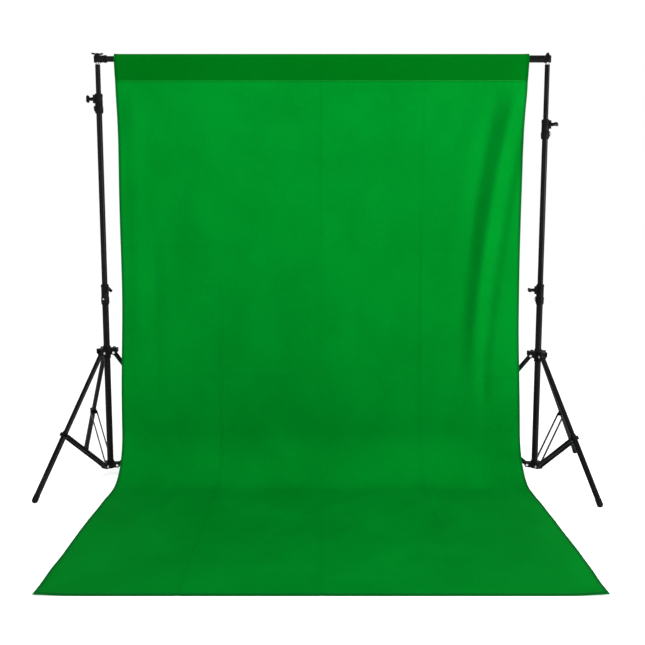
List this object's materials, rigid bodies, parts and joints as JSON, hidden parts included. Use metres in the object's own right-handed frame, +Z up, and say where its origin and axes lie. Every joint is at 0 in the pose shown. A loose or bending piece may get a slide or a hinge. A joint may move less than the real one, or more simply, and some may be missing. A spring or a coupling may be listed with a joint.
{
  "type": "studio background support with fabric background",
  "caption": "Two folding tripod stands with telescopic columns carry a telescopic crossbar and a fabric background hung by its rod pocket, swept forward over the floor.",
  "frame": {"origin": "on the floor, in the middle of the footprint of the whole object, feet and sheet included", "axes": "+X along the crossbar from the left stand to the right stand as seen from the front, +Z up, -Y to the front, where the sheet runs out over the floor"},
  "size_m": [2.5477, 1.6649, 1.9215],
  "materials": {
    "black_tube": "satin",
    "black_steel": "satin",
    "black_plastic": "matte",
    "black_knob": "satin",
    "bright_rivets": "satin",
    "bright_stud": "satin",
    "black_rubber": "matte",
    "green_cloth": "matte"
  },
  "bodies": {
    "left_base": {"left_lower_tube": "black_tube", "left_lower_collar": "black_plastic", "left_lower_fasteners": "bright_rivets", "left_base_hub": "black_plastic", "background_floor_sweep": "green_cloth"},
    "left_middle": {"left_middle_tube": "black_tube", "left_upper_collar": "black_plastic", "left_upper_collar_bolts": "bright_rivets"},
    "crossbar_inner": {"left_top_tube": "black_tube", "left_top_stud": "bright_stud", "crossbar_left_head": "black_plastic", "crossbar_inner_tube": "black_tube", "background_rod_pocket": "green_cloth", "background_hanging_panel": "green_cloth"},
    "crossbar_middle": {"crossbar_middle_tube": "black_tube", "crossbar_middle_collar": "black_plastic"},
    "crossbar_outer": {"crossbar_outer_tube": "black_tube", "crossbar_outer_collar": "black_plastic", "crossbar_right_head": "black_plastic"},
    "right_top": {"right_top_tube": "black_tube", "right_top_stud": "bright_stud"},
    "right_middle": {"right_middle_tube": "black_tube", "right_upper_collar": "black_plastic", "right_upper_collar_bolts": "bright_rivets"},
    "right_base": {"right_lower_tube": "black_tube", "right_lower_collar": "black_plastic", "right_lower_fasteners": "bright_rivets", "right_base_hub": "black_plastic"},
    "left_hub": {"left_leg_hub": "black_plastic", "left_leg_hub_pins": "bright_rivets"},
    "left_inner_leg": {"left_inner_leg": "black_tube", "left_inner_foot": "black_rubber"},
    "left_inner_strut": {"left_inner_strut": "black_steel"},
    "left_back_leg": {"left_back_leg": "black_tube", "left_back_foot": "black_rubber"},
    "left_back_strut": {"left_back_strut": "black_steel"},
    "left_front_leg": {"left_front_leg": "black_tube", "left_front_foot": "black_rubber"},
    "left_front_strut": {"left_front_strut": "black_steel"},
    "left_lower_knob": {"left_lower_collar_knob": "black_knob"},
    "left_upper_knob": {"left_upper_collar_knob": "black_knob"},
    "left_hub_knob": {"left_leg_hub_knob": "black_knob"},
    "right_hub": {"right_leg_hub": "black_plastic", "right_leg_hub_pins": "bright_rivets"},
    "right_inner_leg": {"right_inner_leg": "black_tube", "right_inner_foot": "black_rubber"},
    "right_inner_strut": {"right_inner_strut": "black_steel"},
    "right_back_leg": {"right_back_leg": "black_tube", "right_back_foot": "black_rubber"},
    "right_back_strut": {"right_back_strut": "black_steel"},
    "right_front_leg": {"right_front_leg": "black_tube", "right_front_foot": "black_rubber"},
    "right_front_strut": {"right_front_strut": "black_steel"},
    "right_lower_knob": {"right_lower_collar_knob": "black_knob"},
    "right_upper_knob": {"right_upper_collar_knob": "black_knob"},
    "right_hub_knob": {"right_leg_hub_knob": "black_knob"},
    "crossbar_middle_screw": {"crossbar_middle_screw": "black_knob"},
    "crossbar_outer_screw": {"crossbar_outer_screw": "black_knob"},
    "left_wing_nut": {"left_wing_nut": "black_knob"},
    "right_wing_nut": {"right_wing_nut": "black_knob"}
  },
  "joints": [
    {"name": "left_lower_section_slide", "type": "slide", "parent": "left_base", "child": "left_middle", "axis": [0, 0, 1], "range_m": [-0.58, 0.03]},
    {"name": "left_upper_section_slide", "type": "slide", "parent": "left_middle", "child": "crossbar_inner", "axis": [0, 0, 1], "range_m": [-0.1, 0.6]},
    {"name": "crossbar_middle_extension", "type": "slide", "parent": "crossbar_inner", "child": "crossbar_middle", "axis": [1, 0, 0], "range_m": [-0.01, 0.45]},
    {"name": "crossbar_outer_extension", "type": "slide", "parent": "crossbar_middle", "child": "crossbar_outer", "axis": [1, 0, 0], "range_m": [-0.01, 0.45]},
    {"name": "right_stand_turn", "type": "hinge", "parent": "crossbar_outer", "child": "right_top", "pos_m": [0.9685, 0.438, 1.895], "axis": [0, 0, 1], "range_deg": [-25, 6]},
    {"name": "right_upper_section_slide", "type": "slide", "parent": "right_top", "child": "right_middle", "axis": [0, 0, -1], "range_m": [-0.1, 0.6]},
    {"name": "right_lower_section_slide", "type": "slide", "parent": "right_middle", "child": "right_base", "axis": [0, 0, -1], "range_m": [-0.58, 0.03]},
    {"name": "left_leg_fold", "type": "slide", "parent": "left_base", "child": "left_hub", "axis": [0, 0, 1], "range_m": [0, 0.17748]},
    {"name": "left_inner_leg_pivot", "type": "hinge", "parent": "left_hub", "child": "left_inner_leg", "pos_m": [-0.9885, 0.4383, 0.58215], "axis": [-0.0087, 1, 0], "range_deg": [-0.01, 32.91]},
    {"name": "left_inner_strut_pivot", "type": "hinge", "parent": "left_base", "child": "left_inner_strut", "pos_m": [-0.9875, 0.43831, 0.049], "axis": [0.0087, -1, 0], "range_deg": [-0.01, 47.52]},
    {"name": "left_back_leg_pivot", "type": "hinge", "parent": "left_hub", "child": "left_back_leg", "pos_m": [-1.03976, 0.4673, 0.58215], "axis": [-0.8616, -0.5075, 0], "range_deg": [-0.01, 32.91]},
    {"name": "left_back_strut_pivot", "type": "hinge", "parent": "left_base", "child": "left_back_strut", "pos_m": [-1.04026, 0.46816, 0.049], "axis": [0.8616, 0.5075, 0], "range_deg": [-0.01, 47.52]},
    {"name": "left_front_leg_pivot", "type": "hinge", "parent": "left_hub", "child": "left_front_leg", "pos_m": [-1.03924, 0.40841, 0.58215], "axis": [0.8704, -0.4924, 0], "range_deg": [-0.01, 32.91]},
    {"name": "left_front_strut_pivot", "type": "hinge", "parent": "left_base", "child": "left_front_strut", "pos_m": [-1.03974, 0.40754, 0.049], "axis": [-0.8704, 0.4924, 0], "range_deg": [-0.01, 47.52]},
    {"name": "left_lower_collar_knob_turn", "type": "hinge", "parent": "left_base", "child": "left_lower_knob", "pos_m": [-1.01816, 0.46262, 0.87], "axis": [0.1736, 0.9848, 0], "range_deg": [-180, 360]},
    {"name": "left_upper_collar_knob_turn", "type": "hinge", "parent": "left_middle", "child": "left_upper_knob", "pos_m": [-1.0475, 0.438, 1.722], "axis": [-1, 0, 0], "range_deg": [-180, 360]},
    {"name": "left_leg_hub_knob_turn", "type": "hinge", "parent": "left_hub", "child": "left_hub_knob", "pos_m": [-1.01019, 0.45976, 0.58815], "axis": [0.4924, 0.8704, 0], "range_deg": [-180, 360]},
    {"name": "right_leg_fold", "type": "slide", "parent": "right_base", "child": "right_hub", "axis": [0, 0, 1], "range_m": [0, 0.19952]},
    {"name": "right_inner_leg_pivot", "type": "hinge", "parent": "right_hub", "child": "right_inner_leg", "pos_m": [0.93502, 0.4439, 0.5655], "axis": [-0.1736, -0.9848, 0], "range_deg": [-0.01, 35.15]},
    {"name": "right_inner_strut_pivot", "type": "hinge", "parent": "right_base", "child": "right_inner_strut", "pos_m": [0.93403, 0.44408, 0.049], "axis": [0.1736, 0.9848, 0], "range_deg": [-0.01, 50.16]},
    {"name": "right_back_leg_pivot", "type": "hinge", "parent": "right_hub", "child": "right_back_leg", "pos_m": [0.99035, 0.46405, 0.5655], "axis": [-0.766, 0.6428, 0], "range_deg": [-0.01, 35.15]},
    {"name": "right_back_strut_pivot", "type": "hinge", "parent": "right_base", "child": "right_back_strut", "pos_m": [0.991, 0.46481, 0.049], "axis": [0.766, -0.6428, 0], "range_deg": [-0.01, 50.16]},
    {"name": "right_front_leg_pivot", "type": "hinge", "parent": "right_hub", "child": "right_front_leg", "pos_m": [0.98013, 0.40605, 0.5655], "axis": [0.9397, 0.342, 0], "range_deg": [-0.01, 35.15]},
    {"name": "right_front_strut_pivot", "type": "hinge", "parent": "right_base", "child": "right_front_strut", "pos_m": [0.98047, 0.40511, 0.049], "axis": [-0.9397, -0.342, 0], "range_deg": [-0.01, 50.16]},
    {"name": "right_lower_collar_knob_turn", "type": "hinge", "parent": "right_base", "child": "right_lower_knob", "pos_m": [0.9435, 0.438, 0.87], "axis": [-1, 0, 0], "range_deg": [-180, 360]},
    {"name": "right_upper_collar_knob_turn", "type": "hinge", "parent": "right_middle", "child": "right_upper_knob", "pos_m": [0.99015, 0.4255, 1.61], "axis": [0.866, -0.5, 0], "range_deg": [-180, 360]},
    {"name": "right_leg_hub_knob_turn", "type": "hinge", "parent": "right_hub", "child": "right_hub_knob", "pos_m": [0.95995, 0.46149, 0.5715], "axis": [-0.342, 0.9397, 0], "range_deg": [-180, 360]},
    {"name": "crossbar_middle_screw_turn", "type": "hinge", "parent": "crossbar_middle", "child": "crossbar_middle_screw", "pos_m": [-0.54, 0.438, 1.877], "axis": [0, 0, -1], "range_deg": [-180, 360]},
    {"name": "crossbar_outer_screw_turn", "type": "hinge", "parent": "crossbar_outer", "child": "crossbar_outer_screw", "pos_m": [-0.058, 0.438, 1.876], "axis": [0, 0, -1], "range_deg": [-180, 360]},
    {"name": "left_wing_nut_turn", "type": "hinge", "parent": "crossbar_inner", "child": "left_wing_nut", "pos_m": [-1.0225, 0.438, 1.9113], "axis": [0, 0, 1], "range_deg": [-180, 360]},
    {"name": "right_wing_nut_turn", "type": "hinge", "parent": "right_top", "child": "right_wing_nut", "pos_m": [0.9685, 0.438, 1.9113], "axis": [0, 0, 1], "range_deg": [-180, 360]}
  ],
  "couplings": [
    {"joint": "right_upper_section_slide", "follows": "left_upper_section_slide", "ratio": 1},
    {"joint": "right_lower_section_slide", "follows": "left_lower_section_slide", "ratio": 1},
    {"joint": "left_inner_leg_pivot", "follows": "left_leg_fold", "rad_per_m": 3.2359},
    {"joint": "left_inner_strut_pivot", "follows": "left_leg_fold", "rad_per_m": 4.6717},
    {"joint": "left_back_leg_pivot", "follows": "left_leg_fold", "rad_per_m": 3.2359},
    {"joint": "left_back_strut_pivot", "follows": "left_leg_fold", "rad_per_m": 4.6717},
    {"joint": "left_front_leg_pivot", "follows": "left_leg_fold", "rad_per_m": 3.2359},
    {"joint": "left_front_strut_pivot", "follows": "left_leg_fold", "rad_per_m": 4.6717},
    {"joint": "right_inner_leg_pivot", "follows": "right_leg_fold", "rad_per_m": 3.0743},
    {"joint": "right_inner_strut_pivot", "follows": "right_leg_fold", "rad_per_m": 4.3867},
    {"joint": "right_back_leg_pivot", "follows": "right_leg_fold", "rad_per_m": 3.0743},
    {"joint": "right_back_strut_pivot", "follows": "right_leg_fold", "rad_per_m": 4.3867},
    {"joint": "right_front_leg_pivot", "follows": "right_leg_fold", "rad_per_m": 3.0743},
    {"joint": "right_front_strut_pivot", "follows": "right_leg_fold", "rad_per_m": 4.3867}
  ]
}
